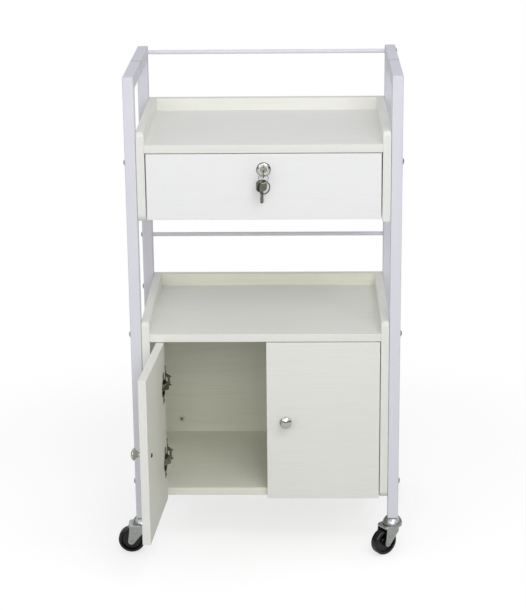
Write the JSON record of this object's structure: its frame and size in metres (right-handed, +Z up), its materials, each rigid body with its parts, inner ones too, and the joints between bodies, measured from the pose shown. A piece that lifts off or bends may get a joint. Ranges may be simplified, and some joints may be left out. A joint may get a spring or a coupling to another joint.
{
  "type": "salon trolley",
  "caption": "Salon trolley on swivel casters: tube uprights with top rails carry a tray with a locking drawer and, below it, a tray-topped cabinet with two hinged doors",
  "frame": {"origin": "on the floor, midway between the swivel axes of the four casters", "axes": "+X to the trolley's right seen from the front, +Y to the rear, +Z up"},
  "size_m": [0.545, 0.554, 0.925],
  "materials": {
    "frame_paint": "satin white powder coat",
    "board": "white melamine-faced particle board, faintly embossed",
    "nickel": "polished nickel plating",
    "split_ring_steel": "dull spring steel",
    "zinc": "bright zinc plating",
    "plug": "moulded nylon",
    "fork_plate": "zinc-plated pressed sheet",
    "wheel_black": "glossy black moulded plastic"
  },
  "bodies": {
    "frame": {"frame_front_left": "frame_paint", "frame_front_right": "frame_paint", "frame_rear_left": "frame_paint", "frame_rear_right": "frame_paint", "rail_sleeves": "zinc", "crossbar_top": "frame_paint", "crossbar_middle": "frame_paint", "frame_bolts": "zinc", "panel_inserts": "zinc", "caster_sockets": "plug", "caster_stems": "zinc", "upper_panel_left": "board", "upper_panel_right": "board", "upper_shelf": "board", "upper_back_panel": "board", "cabinet_panel_left": "board", "cabinet_panel_right": "board", "cabinet_shelf": "board", "cabinet_back_panel": "board", "cabinet_floor": "board", "cam_fittings": "zinc", "cam_bolts": "zinc", "runner_fixed_left": "zinc", "runner_fixed_right": "zinc", "hinge_arms": "zinc"},
    "drawer": {"drawer_front": "board", "drawer_side_left": "board", "drawer_side_right": "board", "drawer_back": "board", "drawer_bottom": "board", "runner_moving_left": "zinc", "runner_moving_right": "zinc", "lock_body": "nickel", "lock_nut": "zinc"},
    "lock": {"lock_core": "nickel", "lock_tongue": "zinc", "lock_key": "nickel"},
    "key_ring": {"key_ring": "nickel"},
    "spare_key": {"spare_key": "nickel"},
    "split_ring": {"split_ring": "split_ring_steel"},
    "left_door": {"left_door": "board", "left_hinge_cups": "zinc", "left_knob": "nickel", "left_knob_screw": "zinc"},
    "left_hinge_links": {"left_hinge_links": "zinc"},
    "right_door": {"right_door": "board", "right_hinge_cups": "zinc", "right_knob": "nickel", "right_knob_screw": "zinc"},
    "right_hinge_links": {"right_hinge_links": "zinc"},
    "caster_fork_front_left": {"caster_fork_front_left": "fork_plate"},
    "caster_wheel_front_left": {"caster_wheel_front_left": "wheel_black"},
    "caster_fork_front_right": {"caster_fork_front_right": "fork_plate"},
    "caster_wheel_front_right": {"caster_wheel_front_right": "wheel_black"},
    "caster_fork_rear_left": {"caster_fork_rear_left": "fork_plate"},
    "caster_wheel_rear_left": {"caster_wheel_rear_left": "wheel_black"},
    "caster_fork_rear_right": {"caster_fork_rear_right": "fork_plate"},
    "caster_wheel_rear_right": {"caster_wheel_rear_right": "wheel_black"}
  },
  "joints": [
    {"name": "caster_swivel_front_left", "type": "hinge", "parent": "frame", "child": "caster_fork_front_left", "pos_m": [-0.24, -0.1525, 0.0675], "axis": [0, 0, 1], "continuous": true},
    {"name": "caster_spin_front_left", "type": "hinge", "parent": "caster_fork_front_left", "child": "caster_wheel_front_left", "pos_m": [-0.2609, -0.1525, 0.0254], "axis": [0, -1, 0], "continuous": true},
    {"name": "caster_swivel_front_right", "type": "hinge", "parent": "frame", "child": "caster_fork_front_right", "pos_m": [0.24, -0.1525, 0.0675], "axis": [0, 0, 1], "continuous": true},
    {"name": "caster_spin_front_right", "type": "hinge", "parent": "caster_fork_front_right", "child": "caster_wheel_front_right", "pos_m": [0.22309, -0.16478, 0.0254], "axis": [0.5878, -0.809, 0], "continuous": true},
    {"name": "caster_swivel_rear_left", "type": "hinge", "parent": "frame", "child": "caster_fork_rear_left", "pos_m": [-0.24, 0.1525, 0.0675], "axis": [0, 0, 1], "continuous": true},
    {"name": "caster_spin_rear_left", "type": "hinge", "parent": "caster_fork_rear_left", "child": "caster_wheel_rear_left", "pos_m": [-0.22106, 0.16133, 0.0254], "axis": [-0.4226, 0.9063, 0], "continuous": true},
    {"name": "caster_swivel_rear_right", "type": "hinge", "parent": "frame", "child": "caster_fork_rear_right", "pos_m": [0.24, 0.1525, 0.0675], "axis": [0, 0, 1], "continuous": true},
    {"name": "caster_spin_rear_right", "type": "hinge", "parent": "caster_fork_rear_right", "child": "caster_wheel_rear_right", "pos_m": [0.2219, 0.16295, 0.0254], "axis": [-0.5, -0.866, 0], "continuous": true},
    {"name": "drawer_slide", "type": "slide", "parent": "frame", "child": "drawer", "axis": [0, -1, 0], "range_m": [0, 0.21]},
    {"name": "lock_turn", "type": "hinge", "parent": "drawer", "child": "lock", "pos_m": [0, -0.163, 0.756], "axis": [0, -1, 0], "range_deg": [0, 90]},
    {"name": "key_ring_swing", "type": "hinge", "parent": "lock", "child": "key_ring", "pos_m": [0, -0.184, 0.75345], "axis": [1, 0, 0], "range_deg": [-20, 15]},
    {"name": "spare_key_swing", "type": "hinge", "parent": "key_ring", "child": "spare_key", "pos_m": [-0.0036, -0.184, 0.73652], "axis": [1, 0, 0], "range_deg": [0, 6]},
    {"name": "split_ring_swing", "type": "hinge", "parent": "key_ring", "child": "split_ring", "pos_m": [0.0014, -0.184, 0.73586], "axis": [1, 0, 0], "range_deg": [-10, 0]},
    {"name": "left_door_hinge", "type": "hinge", "parent": "frame", "child": "left_door", "pos_m": [-0.2067, -0.166, 0.27], "axis": [0, 0, 1], "range_deg": [-5.5, 94.5]},
    {"name": "right_door_hinge", "type": "hinge", "parent": "frame", "child": "right_door", "pos_m": [0.2067, -0.166, 0.27], "axis": [0, 0, 1], "range_deg": [0, 100]},
    {"name": "left_link_turn", "type": "hinge", "parent": "frame", "child": "left_hinge_links", "pos_m": [-0.1822, -0.1415, 0.27], "axis": [0, 0, 1], "range_deg": [-5.9, 100.2]},
    {"name": "right_link_turn", "type": "hinge", "parent": "frame", "child": "right_hinge_links", "pos_m": [0.1822, -0.1415, 0.27], "axis": [0, 0, 1], "range_deg": [0, 106]}
  ],
  "couplings": [
    {"joint": "left_link_turn", "follows": "left_door_hinge", "ratio": 1.06},
    {"joint": "right_link_turn", "follows": "right_door_hinge", "ratio": 1.06}
  ]
}
